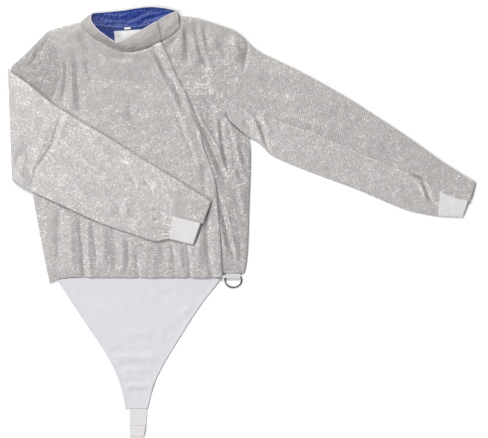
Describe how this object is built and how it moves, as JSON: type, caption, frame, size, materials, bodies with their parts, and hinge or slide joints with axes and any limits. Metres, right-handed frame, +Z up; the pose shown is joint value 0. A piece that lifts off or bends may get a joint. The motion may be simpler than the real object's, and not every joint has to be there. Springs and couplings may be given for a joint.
{
  "type": "fencing jacket",
  "caption": "Waist-length conductive fencing jacket with stand collar, slanted closure, groin panel and strap, laid flat with one sleeve folded back over the front.",
  "frame": {"origin": "middle of the bounding box, on the surface the jacket lies on", "axes": "+X to the wearer's left, along the jacket's width; +Y from hem to collar; +Z up out of the front, away from the surface"},
  "size_m": [1.123, 1.0308, 0.0294],
  "materials": {
    "lame": "silver-grey metal-faced weave, satin with fine sparkle",
    "collar_cloth": "taupe-grey close weave, matt",
    "lining": "blue close weave, matt",
    "label": "white woven ribbon, bare",
    "elastic": "white ribbed elastic, matt",
    "white_cloth": "white cotton weave, matt",
    "tab_cloth": "pale cloth tape, matt",
    "steel": "dark bright metal wire"
  },
  "bodies": {
    "jacket": {"back_panel": "lame", "front_right": "lame", "front_left": "lame", "placket": "lame", "top_sleeve_left": "lame", "under_sleeve_left": "lame", "hand_cover_left": "lame", "sleeve_upper_right": "lame", "sleeve_inner_right": "lame", "top_sleeve_right": "lame", "under_sleeve_right": "lame", "hand_cover_right": "lame", "collar_back": "collar_cloth", "collar_right": "collar_cloth", "collar_left": "collar_cloth", "collar_lining": "lining", "back_neck_lining": "lining", "label": "label", "label_tab": "label", "cuff_left": "elastic", "cuff_right": "elastic", "elastic_strap": "elastic", "groin_panel": "white_cloth", "ring_tab": "tab_cloth"},
    "ring": {"d_ring": "steel"}
  },
  "joints": [
    {"name": "ring_turn", "type": "hinge", "parent": "jacket", "child": "ring", "pos_m": [-0.0209, -0.134, 0.00325], "axis": [-1, 0, 0], "range_deg": [0, 130]}
  ]
}
